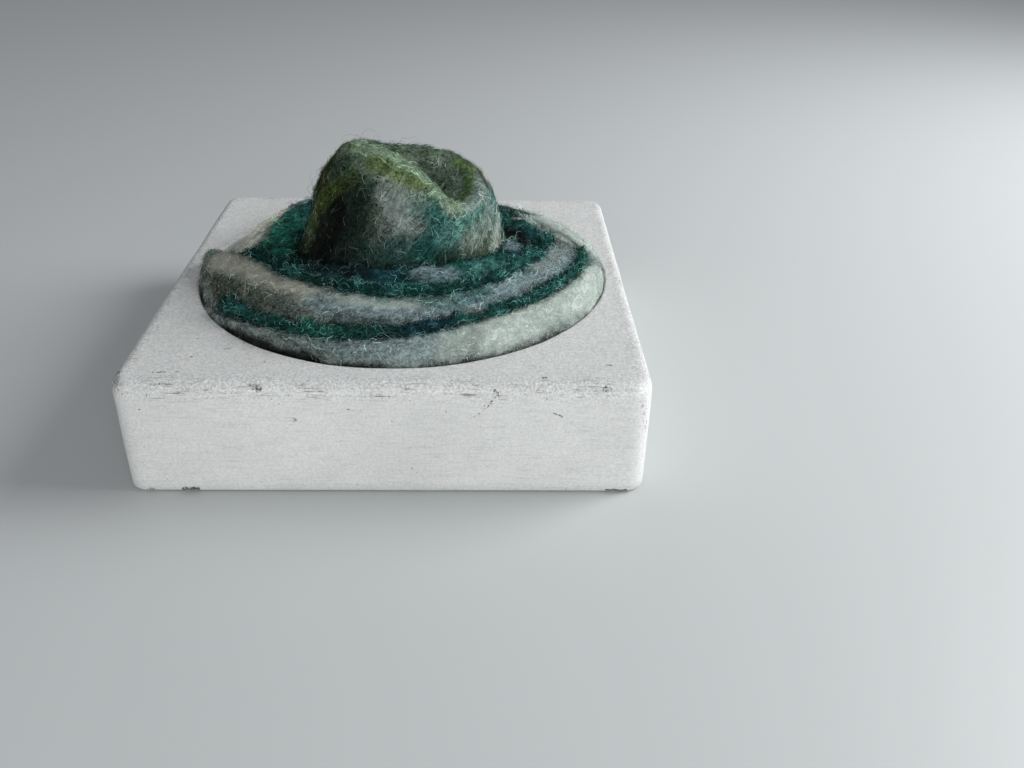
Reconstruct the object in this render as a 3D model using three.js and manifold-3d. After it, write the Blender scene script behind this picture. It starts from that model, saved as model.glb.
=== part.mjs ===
// A small felted-wool hat that rests in the round recess of a square painted wooden block.
// Millimetres, +Z up. +X is the hat's right side, +Y its back, and the origin is the middle of the
// block's underside. Angles are in degrees round the hat's own axis, 0 at the right and -90 in front.
import * as THREE from 'three';
import { mergeVertices } from 'three/addons/utils/BufferGeometryUtils.js';
import Module from 'manifold-3d';

const wasm = await Module();
wasm.setup();

// Driving dimensions of the hat
const BRIM_RADIUS = 45.2;
const BRIM_RISE = 14.6; // from the brim's underside at the edge to its crest at the crown's foot
const BRIM_THICKNESS = 8.5;
const CROWN_RADIUS = 22.6;
const CROWN_HEIGHT = 36.4;
const CROWN_WALL = 2.8;
const DENT_HEIGHT = 23; // the deepest point of the crown's dent, above the brim's underside
const STRAND_RISE = 0.9; // how far a strand of wool stands above the seam that it covers
const SEAM_GAP = 0.3; // clearance between pieces that touch

// Driving dimensions of the block
const BLOCK_HEIGHT = 24.3;
const BLOCK_BORDER = 4.9; // from the recess to the block's side, with the recess in the middle
const BLOCK_CORNER = 4.0; // radius of the upright edges
const BLOCK_TOP_EDGE = 2.2; // radius of the worn top edge
const BLOCK_FOOT_EDGE = 0.6; // chamfer of the bottom edge
const RECESS_DEPTH = 5.0;
const RECESS_PLAY = 0.5; // room between the brim and the recess's wall
const RECESS_COVE = 0.8; // chamfer where the recess's wall meets its floor
const RECESS_OFFSET = { x: 0.12, y: 0.37 }; // of the border: the recess isn't quite in the middle

// What follows from them
const RECESS_RADIUS = BRIM_RADIUS + RECESS_PLAY;
const BLOCK_SIDE = 2 * (RECESS_RADIUS + BLOCK_BORDER);
const BRIM_WIDTH = BRIM_RADIUS - CROWN_RADIUS;
const HAT_PLACE = new THREE.Vector3(
  RECESS_OFFSET.x * BLOCK_BORDER,
  RECESS_OFFSET.y * BLOCK_BORDER,
  BLOCK_HEIGHT - RECESS_DEPTH + SEAM_GAP,
);

// Fineness of the meshes
const STEP = 6; // degrees from section to section
const ARCH_STEPS = 8; // over a roll's back
const DOME_STEPS = 6; // up the crown's shoulder
const DENT_STEPS = 5; // down into the dent
const END_ANGLES = [0, 1, 3]; // extra sections that round off a loose end, in degrees
const CORNER_STEPS = 4; // round the block's upright edges
const EDGE_STEPS = 3; // over its top edge

// Shapes of the rolls' backs
const OUTER_BULGE = 0.19; // shares of the brim's rise
const INNER_BULGE = 0.13;
const BULGE_PER_WIDTH = 0.85; // a narrow roll bulges no more than this share of its width
const BULGE_POWER = 0.75;
const TUCK = 0.05; // how far the outer roll turns in under its edge, a share of the brim's width
const STRAND_REACH = 2; // arch steps that a strand covers on each side of its seam
const END_FACE = 0.07; // a loose end's last face, from 0 for a point to 1 for a full section

// The brim by angle. edge, groove and inner are places across the brim, from 0 at the crown's radius
// to 1 at the brim's: its edge, the seam between the outer and the middle roll, and the seam to the
// inner roll. brink, low, high and foot are heights as shares of the brim's rise: at the edge, in
// the two seams and at the crown. swell is how far the middle roll bulges, a share of the rise too.
// The middle roll ends in a small tab just past -180, and past its other end the two seams are one.
const BRIM = [
  { at: -190, edge: 1, groove: 1, inner: 0.9, brink: 0.2, low: 0.5, high: 0.37, foot: 0.6,
    swell: 0.28 },
  { at: -180, edge: 1, groove: 1, inner: 0.83, brink: 0.2, low: 0.49, high: 0.39, foot: 0.6,
    swell: 0.28 },
  { at: -165, edge: 1, groove: 1, inner: 0.46, brink: 0.2, low: 0.27, high: 0.68, foot: 0.68,
    swell: 0.24 },
  { at: -150, edge: 1, groove: 0.93, inner: 0.32, brink: 0.18, low: 0.32, high: 0.72, foot: 0.8,
    swell: 0.18 },
  { at: -120, edge: 1, groove: 0.82, inner: 0.23, brink: 0.18, low: 0.38, high: 0.74, foot: 0.92,
    swell: 0.14 },
  { at: -90, edge: 0.99, groove: 0.7, inner: 0.24, brink: 0.18, low: 0.41, high: 0.73, foot: 0.96,
    swell: 0.13 },
  { at: -60, edge: 0.99, groove: 0.6, inner: 0.27, brink: 0.18, low: 0.46, high: 0.72, foot: 0.95,
    swell: 0.13 },
  { at: -30, edge: 1, groove: 0.67, inner: 0.27, brink: 0.18, low: 0.48, high: 0.73, foot: 0.88,
    swell: 0.13 },
  { at: 0, edge: 1, groove: 0.8, inner: 0.42, brink: 0.22, low: 0.48, high: 0.68, foot: 0.74,
    swell: 0.13 },
  { at: 30, edge: 1, groove: 0.64, inner: 0.64, brink: 0.24, low: 0.51, high: 0.51, foot: 0.64,
    swell: 0 },
  { at: 60, edge: 0.98, groove: 0.66, inner: 0.66, brink: 0.2, low: 0.46, high: 0.46, foot: 0.57,
    swell: 0 },
  { at: 90, edge: 0.98, groove: 0.68, inner: 0.68, brink: 0.18, low: 0.6, high: 0.6, foot: 0.58,
    swell: 0 },
  { at: 120, edge: 0.97, groove: 0.7, inner: 0.7, brink: 0.18, low: 0.69, high: 0.69, foot: 0.58,
    swell: 0 },
  { at: 150, edge: 0.87, groove: 0.66, inner: 0.66, brink: 0.18, low: 0.6, high: 0.6, foot: 0.58,
    swell: 0 },
  { at: 165, edge: 0.83, groove: 0.7, inner: 0.7, brink: 0.18, low: 0.48, high: 0.48, foot: 0.58,
    swell: 0 },
  { at: 180, edge: 0.83, groove: 0.83, inner: 0.83, brink: 0.18, low: 0.39, high: 0.39, foot: 0.6,
    swell: 0 },
];

// Where the loose rolls and strands begin and end
const OUTER_SPAN = { from: -156, to: 163 };
const MIDDLE_SPAN = { from: -184, to: 24 };
const OUTER_STRAND_SPAN = { from: -150, to: 6 };
const INNER_STRAND_SPAN = { from: -171, to: 12 };

// The crown by angle. foot is its radius and reach the rim's distance from the dent's middle, as
// shares of the crown's radius. rise is the rim's height as a share of the crown's.
const CROWN = [
  { at: -180, foot: 0.98, reach: 0.645, rise: 0.967 },
  { at: -165, foot: 1.01, reach: 0.63, rise: 1.0 },
  { at: -150, foot: 1.03, reach: 0.53, rise: 0.985 },
  { at: -120, foot: 1.0, reach: 0.41, rise: 0.925 },
  { at: -90, foot: 0.94, reach: 0.45, rise: 0.84 },
  { at: -60, foot: 0.98, reach: 0.62, rise: 0.69 },
  { at: -30, foot: 1.0, reach: 0.55, rise: 0.69 },
  { at: 0, foot: 1.0, reach: 0.48, rise: 0.725 },
  { at: 30, foot: 0.97, reach: 0.455, rise: 0.77 },
  { at: 60, foot: 0.95, reach: 0.45, rise: 0.81 },
  { at: 90, foot: 0.94, reach: 0.41, rise: 0.845 },
  { at: 120, foot: 0.94, reach: 0.49, rise: 0.857 },
  { at: 150, foot: 0.95, reach: 0.57, rise: 0.9 },
  { at: 180, foot: 0.98, reach: 0.645, rise: 0.967 },
];
const DENT_PLACE = { x: 0.28, y: -0.06 }; // shares of the crown's radius
const WALL_SHARE = 0.33; // of the crown's height that goes straight up
const WALL_LEAN = 0.45; // how much of the way to its rim the wall leans in before it rounds over
const LINING_REACH = 0.92; // the hollow's own rim, as a share of the reach above it
const LINING_DROP = 1.25; // how far the hollow's rim lies below the crown's, in walls

// Finds one column of a table at an angle, on a smooth curve through its rows
function column(table, name, angle) {
  const last = table.length - 1;
  let row = 0;
  while (row < last - 1 && angle > table[row + 1].at) {
    row += 1;
  }
  const here = table[row];
  const next = table[row + 1];
  const before = table[Math.max(row - 1, 0)];
  const after = table[Math.min(row + 2, last)];
  const span = next.at - here.at;
  const t = (angle - here.at) / span;
  const leave = (span * (next[name] - before[name])) / (next.at - before.at);
  const arrive = (span * (after[name] - here[name])) / (after.at - here.at);
  const rise = next[name] - here[name];
  const bend = 3 * rise - 2 * leave - arrive;
  const twist = leave + arrive - 2 * rise;
  return here[name] + t * (leave + t * (bend + t * twist));
}

// Rows of points, ring after ring, as one closed body; each end is a cap unless the rings close
function loft(rings, closes) {
  const count = rings[0].length;
  const points = rings.flat();
  const faces = [];
  const bands = closes ? rings.length : rings.length - 1;
  for (let i = 0; i < bands; i += 1) {
    const a = i * count;
    const b = ((i + 1) % rings.length) * count;
    for (let j = 0; j < count; j += 1) {
      const k = (j + 1) % count;
      faces.push(a + j, b + j, b + k, a + j, b + k, a + k);
    }
  }
  if (!closes) {
    const lastRing = (rings.length - 1) * count;
    const first = points.push(middle(rings[0])) - 1;
    const last = points.push(middle(rings[rings.length - 1])) - 1;
    for (let j = 0; j < count; j += 1) {
      const k = (j + 1) % count;
      faces.push(first, j, k, last, lastRing + k, lastRing + j);
    }
  }
  const geometry = new THREE.BufferGeometry().setFromPoints(points);
  geometry.setIndex(faces);
  geometry.computeVertexNormals();
  return geometry;
}

function middle(ring) {
  const sum = ring.reduce((total, point) => total.add(point), new THREE.Vector3());
  return sum.divideScalar(ring.length);
}

// A point in the hat's own frame, from its angle, distance from the axis and height
function polar(angle, radius, height) {
  const turn = THREE.MathUtils.degToRad(angle);
  return new THREE.Vector3(radius * Math.cos(turn), radius * Math.sin(turn), height);
}

// The seams and edges of the brim at an angle, in millimetres
function brimAt(angle) {
  const across = (name) => CROWN_RADIUS + BRIM_WIDTH * column(BRIM, name, angle);
  const height = (name) => BRIM_RISE * column(BRIM, name, angle);
  return {
    edge: across('edge'),
    groove: across('groove'),
    inner: Math.min(across('inner'), across('groove')),
    crown: CROWN_RADIUS * column(CROWN, 'foot', angle) + SEAM_GAP / 2,
    brink: height('brink'),
    low: height('low'),
    high: height('high'),
    foot: height('foot'),
    swell: height('swell'),
  };
}

// A roll's back as points {r, z} from its outer to its inner foot
function arch(outer, inner, outerFoot, innerFoot, fullBulge) {
  const half = (outer - inner - SEAM_GAP) / 2;
  const centre = (outer + inner) / 2;
  const bulge = Math.min(fullBulge, 2 * half * BULGE_PER_WIDTH);
  const points = [];
  for (let i = 0; i <= ARCH_STEPS; i += 1) {
    const turn = (Math.PI * i) / ARCH_STEPS;
    const chord = THREE.MathUtils.lerp(outerFoot, innerFoot, (1 - Math.cos(turn)) / 2);
    points.push({
      r: centre + half * Math.cos(turn),
      z: chord + bulge * Math.abs(Math.sin(turn)) ** BULGE_POWER,
    });
  }
  return points;
}

function outerArch(angle) {
  const brim = brimAt(angle);
  return arch(brim.edge, brim.groove, brim.brink, brim.low, OUTER_BULGE * BRIM_RISE);
}

function middleArch(angle) {
  const brim = brimAt(angle);
  return arch(brim.groove, brim.inner, brim.low, brim.high, brim.swell);
}

function innerArch(angle) {
  const brim = brimAt(angle);
  return arch(brim.inner, brim.crown, brim.high, brim.foot, INNER_BULGE * BRIM_RISE);
}

// A whole section of a roll: its back, and an underside as far below as the brim is thick
function rollSection(back, tuck) {
  const outer = back[0];
  const inner = back[back.length - 1];
  const under = (height) => Math.max(0, height - BRIM_THICKNESS);
  const section = back.map((point) => ({ ...point }));
  section.push({ r: inner.r, z: under(inner.z) });
  section.push({ r: (inner.r + outer.r) / 2, z: under((inner.z + outer.z) / 2) });
  section.push({ r: outer.r - tuck, z: under(outer.z) });
  return section;
}

// A strand lies over the seam of two rolls: it follows both backs at a gap and bulges above them
function strandSection(outerBack, innerBack) {
  const near = outerBack.slice(-1 - STRAND_REACH, -1);
  const far = innerBack.slice(1, 1 + STRAND_REACH);
  const seamFoot = Math.max(outerBack[outerBack.length - 1].z, innerBack[0].z);
  const seam = (outerBack[outerBack.length - 1].r + innerBack[0].r) / 2;
  const under = [
    ...near.map((point) => ({ r: point.r - SEAM_GAP / 2, z: point.z + SEAM_GAP })),
    { r: seam, z: seamFoot + SEAM_GAP },
    ...far.map((point) => ({ r: point.r + SEAM_GAP / 2, z: point.z + SEAM_GAP })),
  ];
  const start = under[0];
  const end = under[under.length - 1];
  const over = [];
  for (let i = 1; i < ARCH_STEPS / 2; i += 1) {
    const share = i / (ARCH_STEPS / 2);
    over.push({
      r: THREE.MathUtils.lerp(end.r, start.r, share),
      z: THREE.MathUtils.lerp(end.z, start.z, share) + STRAND_RISE * Math.sin(Math.PI * share),
    });
  }
  return [...under, ...over].reverse();
}

// The angles of a piece's sections, with extra ones close to its loose ends
function anglesOf(span) {
  const angles = END_ANGLES.map((offset) => span.from + offset);
  for (let angle = Math.ceil(span.from / STEP) * STEP; angle < span.to; angle += STEP) {
    if (angle > span.from + STEP / 2 && angle < span.to - STEP / 2) {
      angles.push(angle);
    }
  }
  return [...angles, ...END_ANGLES.map((offset) => span.to - offset).reverse()];
}

// A loose end is rounded off by drawing its last sections in towards their own middle
function endScale(angle, span) {
  const away = Math.min(angle - span.from, span.to - angle);
  const share = Math.min(1, END_FACE + away / STEP);
  return Math.sqrt(1 - (1 - share) ** 2);
}

function drawnIn(section, scale) {
  const centre = { r: 0, z: 0 };
  for (const point of section) {
    centre.r += point.r / section.length;
    centre.z += point.z / section.length;
  }
  return section.map((point) => ({
    r: THREE.MathUtils.lerp(centre.r, point.r, scale),
    z: THREE.MathUtils.lerp(centre.z, point.z, scale),
  }));
}

function sweep(sectionAt, span) {
  const rings = anglesOf(span).map((angle) => {
    const section = drawnIn(sectionAt(angle), endScale(angle, span));
    return section.map((point) => polar(angle, point.r, point.z));
  });
  return loft(rings, false);
}

function outerRoll() {
  return sweep((angle) => rollSection(outerArch(angle), TUCK * BRIM_WIDTH), OUTER_SPAN);
}

function middleRoll() {
  return sweep((angle) => rollSection(middleArch(angle), 0), MIDDLE_SPAN);
}

function innerRoll() {
  const rings = [];
  for (let angle = -180; angle < 180; angle += STEP) {
    rings.push(rollSection(innerArch(angle), 0).map((point) => polar(angle, point.r, point.z)));
  }
  return loft(rings, true);
}

function outerStrand() {
  return sweep((angle) => strandSection(outerArch(angle), middleArch(angle)), OUTER_STRAND_SPAN);
}

function innerStrand() {
  return sweep((angle) => strandSection(middleArch(angle), innerArch(angle)), INNER_STRAND_SPAN);
}

// One line of the crown from its foot up to its rim and down into the dent. inset is how far it
// lies inside the felt's outer face: 0 outside, the wall's thickness on the hollow's side.
function crownLine(angle, inset) {
  const straight = WALL_SHARE * CROWN_HEIGHT;
  const foot = polar(angle, CROWN_RADIUS * column(CROWN, 'foot', angle) - SEAM_GAP / 2 - inset, 0);
  const dent = new THREE.Vector3(
    DENT_PLACE.x * CROWN_RADIUS,
    DENT_PLACE.y * CROWN_RADIUS,
    DENT_HEIGHT - inset,
  );
  const reach = CROWN_RADIUS * column(CROWN, 'reach', angle) * (inset > 0 ? LINING_REACH : 1);
  const rimHeight = CROWN_HEIGHT * column(CROWN, 'rise', angle) - LINING_DROP * inset;
  const rim = polar(angle, reach, 0).add(dent).setZ(rimHeight);
  const line = [foot, foot.clone().setZ(straight / 2)];
  for (let i = 0; i <= DOME_STEPS; i += 1) {
    const turn = (Math.PI / 2) * (i / DOME_STEPS);
    const up = Math.sqrt(Math.sin(turn));
    const point = rim.clone().lerp(foot, Math.cos(turn) * (1 - WALL_LEAN * up));
    line.push(point.setZ(THREE.MathUtils.lerp(straight, rimHeight, up)));
  }
  for (let i = 1; i < DENT_STEPS; i += 1) {
    const share = i / DENT_STEPS;
    const fall = THREE.MathUtils.smoothstep(share, 0, 1);
    line.push(rim.clone().lerp(dent, share).setZ(THREE.MathUtils.lerp(rimHeight, dent.z, fall)));
  }
  return { line, dent };
}

// The crown is one shell: up its outer face, over the rim to the dent, and back along the hollow
function crown() {
  const count = 360 / STEP;
  const points = [];
  for (let i = 0; i < count; i += 1) {
    const angle = -180 + i * STEP;
    points.push(...crownLine(angle, 0).line, ...crownLine(angle, CROWN_WALL).line.reverse());
  }
  const rows = points.length / count;
  const half = rows / 2;
  const top = points.push(crownLine(0, 0).dent) - 1;
  const ceiling = points.push(crownLine(0, CROWN_WALL).dent) - 1;
  const faces = [];
  for (let i = 0; i < count; i += 1) {
    const a = i * rows;
    const b = ((i + 1) % count) * rows;
    for (let j = 0; j < rows; j += 1) {
      const k = (j + 1) % rows;
      if (j === half - 1) {
        faces.push(a + j, b + j, top);
        faces.push(b + k, a + k, ceiling);
      } else {
        faces.push(a + j, b + j, b + k, a + j, b + k, a + k);
      }
    }
  }
  const geometry = new THREE.BufferGeometry().setFromPoints(points);
  geometry.setIndex(faces);
  geometry.computeVertexNormals();
  return geometry;
}

// A square with rounded corners, drawn in by an inset, as a ring of points at a height
function squareRing(inset, height) {
  const half = BLOCK_SIDE / 2 - BLOCK_CORNER;
  const radius = BLOCK_CORNER - inset;
  const corners = [[1, 1], [-1, 1], [-1, -1], [1, -1]];
  return corners.flatMap(([x, y], corner) => {
    const arc = [];
    for (let i = 0; i <= CORNER_STEPS; i += 1) {
      const turn = (Math.PI / 2) * (corner + i / CORNER_STEPS);
      arc.push(new THREE.Vector3(
        x * half + radius * Math.cos(turn),
        y * half + radius * Math.sin(turn),
        height,
      ));
    }
    return arc;
  });
}

function solid(geometry) {
  const bare = geometry.clone();
  bare.deleteAttribute('normal');
  bare.deleteAttribute('uv');
  const merged = mergeVertices(bare, 1e-4);
  return new wasm.Manifold(new wasm.Mesh({
    numProp: 3,
    vertProperties: new Float32Array(merged.attributes.position.array),
    triVerts: new Uint32Array(merged.index.array),
  }));
}

function geometryOf(manifold) {
  const mesh = manifold.getMesh();
  const geometry = new THREE.BufferGeometry();
  geometry.setAttribute('position', new THREE.BufferAttribute(mesh.vertProperties, 3));
  geometry.setIndex(new THREE.BufferAttribute(mesh.triVerts, 1));
  geometry.computeVertexNormals();
  return geometry;
}

// The block: a chamfered foot, upright sides and a round top edge, with the recess cut out
function displayBlock() {
  const rings = [squareRing(BLOCK_FOOT_EDGE, 0), squareRing(0, BLOCK_FOOT_EDGE)];
  for (let i = 0; i <= EDGE_STEPS; i += 1) {
    const turn = (Math.PI / 2) * (i / EDGE_STEPS);
    const inset = BLOCK_TOP_EDGE * (1 - Math.cos(turn));
    rings.push(squareRing(inset, BLOCK_HEIGHT - BLOCK_TOP_EDGE * (1 - Math.sin(turn))));
  }
  const floor = BLOCK_HEIGHT - RECESS_DEPTH;
  const profile = [
    new THREE.Vector2(0, floor),
    new THREE.Vector2(RECESS_RADIUS - RECESS_COVE, floor),
    new THREE.Vector2(RECESS_RADIUS, floor + RECESS_COVE),
    new THREE.Vector2(RECESS_RADIUS, BLOCK_HEIGHT + RECESS_COVE),
    new THREE.Vector2(0, BLOCK_HEIGHT + RECESS_COVE),
  ];
  const recess = new THREE.LatheGeometry(profile, 360 / STEP);
  recess.rotateX(Math.PI / 2);
  recess.translate(HAT_PLACE.x, HAT_PLACE.y, 0);
  return geometryOf(solid(loft(rings.reverse(), false)).subtract(solid(recess)));
}

function piece(name, geometry, color, roughness) {
  const material = new THREE.MeshStandardMaterial({ color, roughness, metalness: 0 });
  const mesh = new THREE.Mesh(geometry, material);
  mesh.name = name;
  return mesh;
}

const hat = new THREE.Group();
hat.position.copy(HAT_PLACE);
hat.add(piece('crown', crown(), 0x3f6a58, 0.95));
hat.add(piece('inner_roll', innerRoll(), 0x1f5a52, 0.95));
hat.add(piece('middle_roll', middleRoll(), 0x8a9091, 0.95));
hat.add(piece('outer_roll', outerRoll(), 0xb4bab0, 0.95));
hat.add(piece('outer_strand', outerStrand(), 0x24665a, 0.95));
hat.add(piece('inner_strand', innerStrand(), 0x2f6e60, 0.95));

const model = new THREE.Group();
model.add(piece('display_block', displayBlock(), 0xd2cfd2, 0.6));
model.add(hat);

export default model;
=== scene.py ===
"""A small felted-wool hat on its painted display block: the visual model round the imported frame.

Laid out as an add-on and run as a script. Sizes are in metres, tables of places in millimetres.
"""
import math
from collections import namedtuple
from functools import lru_cache

import bpy
import numpy as np
from bpy.props import FloatProperty, FloatVectorProperty, IntProperty, PointerProperty
from bpy.types import Operator, Panel, PropertyGroup
from mathutils import Matrix, Vector, noise
from mathutils.bvhtree import BVHTree


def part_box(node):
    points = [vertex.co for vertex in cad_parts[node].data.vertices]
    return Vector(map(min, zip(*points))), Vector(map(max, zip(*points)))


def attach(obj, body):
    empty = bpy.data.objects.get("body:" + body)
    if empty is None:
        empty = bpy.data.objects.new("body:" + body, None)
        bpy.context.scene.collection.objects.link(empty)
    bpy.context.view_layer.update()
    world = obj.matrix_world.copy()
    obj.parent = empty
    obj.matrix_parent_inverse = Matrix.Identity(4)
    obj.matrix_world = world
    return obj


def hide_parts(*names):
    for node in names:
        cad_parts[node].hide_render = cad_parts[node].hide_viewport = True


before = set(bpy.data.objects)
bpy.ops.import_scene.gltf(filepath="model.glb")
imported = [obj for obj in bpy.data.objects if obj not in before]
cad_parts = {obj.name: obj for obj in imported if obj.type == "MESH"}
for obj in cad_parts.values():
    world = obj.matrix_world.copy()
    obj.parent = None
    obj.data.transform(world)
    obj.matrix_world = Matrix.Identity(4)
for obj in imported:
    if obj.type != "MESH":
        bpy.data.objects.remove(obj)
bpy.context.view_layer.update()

bl_info = {
    "name": "Felt hat on a display block",
    "version": (1, 0, 0),
    "blender": (4, 5, 0),
    "location": "View3D > Sidebar > Felt hat",
    "description": "Makes a felted-wool hat with a rolled brim and the painted block that it rests on",
    "category": "Object",
}

MM = 0.001
PER_SQUARE_CENTIMETRE = 1e4
BODY = "root"
HAT_AXIS = np.array([0.588, 1.813])  # the middle of the block's recess, in millimetres
HAT_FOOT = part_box("crown")[0].z / MM
CROWN_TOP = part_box("crown")[1].z / MM
HOLLOW_TOP = HAT_FOOT + 22.0  # below it, the crown's inward faces are those of its hollow
RIM_RADIUS = 46.0  # of the recess's painted rim, in millimetres
SWELL = 0.6  # how far the brim swells over that rim at the hat's sides, in millimetres

# The dyed wools, as they look in daylight, in shares of full red, green and blue
TONES = {
    "near_black": (0.014, 0.022, 0.018),
    "dark_green": (0.12, 0.17, 0.14),
    "mid_green": (0.27, 0.33, 0.26),
    "moss": (0.20, 0.22, 0.12),
    "olive": (0.27, 0.33, 0.155),
    "olive_green": (0.29, 0.38, 0.21),
    "bright_olive": (0.36, 0.43, 0.24),
    "pale_green": (0.47, 0.55, 0.45),
    "basin_green": (0.38, 0.43, 0.37),
    "deep_teal": (0.07, 0.24, 0.22),
    "blue_teal": (0.05, 0.19, 0.18),
    "navy_teal": (0.09, 0.20, 0.24),
    "teal": (0.17, 0.36, 0.34),
    "sea_green": (0.12, 0.31, 0.27),
    "bright_teal": (0.17, 0.45, 0.37),
    "light_teal": (0.31, 0.47, 0.44),
    "pale_teal": (0.48, 0.54, 0.51),
    "grey_teal": (0.34, 0.39, 0.38),
    "dark_grey": (0.18, 0.19, 0.19),
    "warm_grey": (0.37, 0.41, 0.37),
    "brown_grey": (0.31, 0.33, 0.295),
    "lilac_grey": (0.46, 0.53, 0.545),
    "light_grey": (0.50, 0.54, 0.52),
    "pale_grey": (0.45, 0.50, 0.44),
    "beige": (0.55, 0.56, 0.52),
    "pale_beige": (0.68, 0.68, 0.63),
    "cream": (0.83, 0.83, 0.78),
    "off_white": (0.73, 0.77, 0.74),
}

# Wisps of one wool laid over another: the tone, the half width in millimetres, how much it covers,
# and the points that its middle runs through, in millimetres
Wisp = namedtuple("Wisp", "tone width cover points")
SEAM_NAVY = Wisp("navy_teal", 2.6, 0.8, [(4, -36, 28.5), (10.5, -34.5, 28.5)])
SEAM_GREEN = Wisp("sea_green", 2, 0.7, [(-18, -34.5, 28), (-13.5, -36, 28), (-10.5, -36.5, 27)])
CROWN_WISPS = [
    Wisp("mid_green", 9, 0.5, [(-10.5, -3.5, 54.5), (-12.5, -4.5, 52), (-13.5, -6, 49.5)]),
    Wisp("moss", 3.5, 0.8, [(-15, -3, 50), (-15.5, -3.5, 48), (-16, -5.5, 46.5)]),
    Wisp("olive", 2.6, 0.75, [(-17.5, -8, 39), (-16, -8.5, 42.5), (-14, -8.5, 46), (-11, -9.5, 48.5),
                              (-8.5, -10.5, 49.5), (-6, -10.5, 51), (-4.5, -10.5, 51.5)]),
    Wisp("olive", 2.4, 0.4, [(-20.5, -7, 32), (-19.5, -7.5, 35), (-17.5, -8.5, 38.5)]),
    Wisp("near_black", 4.5, 0.9, [(-11.5, -11, 46), (-12.5, -11.5, 43.5), (-14.5, -12, 39),
                                  (-16, -12, 35.5), (-17, -15, 33.5)]),
    Wisp("near_black", 5, 0.85, [(-8.5, -12.5, 46), (-9, -14, 43), (-10.5, -15, 39), (-12, -15.5, 34.5),
                                 (-9.5, -21, 33.5)]),
    Wisp("olive", 1.5, 0.6, [(-14.8, -9.5, 43.5), (-13.5, -9.5, 46), (-11, -10.5, 48), (-8, -11.5, 49)]),
    Wisp("dark_green", 6, 0.7, [(-5.5, -13, 47.5), (-4.5, -15, 45), (-4.5, -16.5, 41), (-5.5, -17.5, 37),
                                (-5, -18.5, 34)]),
    Wisp("warm_grey", 5, 0.5, [(0, -15, 46), (-0.5, -16, 43), (-1.5, -17, 40.5)]),
    Wisp("light_grey", 5.4, 0.95, [(2, -13, 49), (2.5, -14, 47), (3, -15.5, 44.5), (3.5, -16.5, 42),
                                   (2.5, -17, 40)]),
    Wisp("off_white", 3, 0.15, [(3, -14.5, 46), (3.5, -16, 43)]),
    Wisp("teal", 4.5, 0.85, [(7, -15, 45), (8.5, -15.5, 43), (8.5, -16.5, 40), (7, -17.5, 37)]),
    Wisp("deep_teal", 4.5, 0.8, [(1, -18, 37.5), (4.5, -18, 36.5), (7, -17.5, 36), (10.5, -17, 36.5)]),
    Wisp("light_teal", 3.2, 0.8, [(11.5, -16, 39), (13.5, -14, 41), (16.5, -10.5, 43), (19.5, -5, 43),
                                  (20.5, 0, 42.5)]),
    Wisp("pale_teal", 2.6, 0.75, [(15, -14, 36), (16.5, -12.5, 38), (19, -9, 40), (20, -6, 41)]),
    Wisp("off_white", 2.8, 0.5, [(20.5, -8.5, 33), (21, -5.5, 35.5), (21.5, -2.5, 37.5)]),
    Wisp("dark_green", 3, 0.6, [(11, -17, 35), (14.5, -15, 34.5)]),
    Wisp("basin_green", 4, 0.7, [(3, 7, 48.5), (7, 7, 48.5), (10.5, 6.5, 47.5)]),
    Wisp("mid_green", 2, 0.7, [(-1.5, 6, 51), (3, 9, 50), (7.5, 9, 50), (10.5, 9.5, 49.5), (12.5, 8.5, 49)]),
    Wisp("pale_green", 2.4, 0.5, [(12, 2.5, 45.5), (12, 0, 44), (11, -1.5, 43.5)]),
    Wisp("dark_green", 2.2, 0.35, [(7.5, 5, 46), (9, 4, 45), (10.5, 2.5, 44.5)]),
    Wisp("olive_green", 2.1, 0.85, [(13, 7, 48), (15, 5, 47.5), (16, 2, 46), (16, -1.5, 45), (14.5, -5.5, 44),
                                    (13, -12, 45)]),
    Wisp("pale_teal", 2.2, 0.9, [(18.5, 2, 46), (18, -3, 45), (16.5, -7, 44.5), (14.5, -12, 44.5),
                                 (12, -13.5, 44.5)]),
    Wisp("moss", 1.3, 0.8, [(15, 9, 48), (17, 7, 47.5), (18.5, 4, 46), (19.5, 0.5, 44.5)]),
    Wisp("pale_grey", 2.2, 0.6, [(-6, -8.5, 52.5), (-3.5, -10.5, 51.5), (-0.5, -12, 50), (2.5, -12.5, 49.5),
                                 (4.5, -13.5, 48), (6, -14, 46.5)]),
    Wisp("pale_green", 3, 0.9, [(-9, -4, 55), (-6.5, -6, 55), (-3, -7.5, 54.5), (0, -8, 53.5), (2.5, -9, 52),
                                (5.5, -10.5, 50.5), (8, -11, 48.5), (10.5, -11.5, 46.5), (12.5, -12, 45)]),
    Wisp("bright_olive", 1.8, 0.8, [(-4, -9, 53), (-1.5, -10, 52), (0.5, -11, 51.5), (3, -11.5, 50.5),
                                    (5, -12, 49)]),
]
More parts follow.
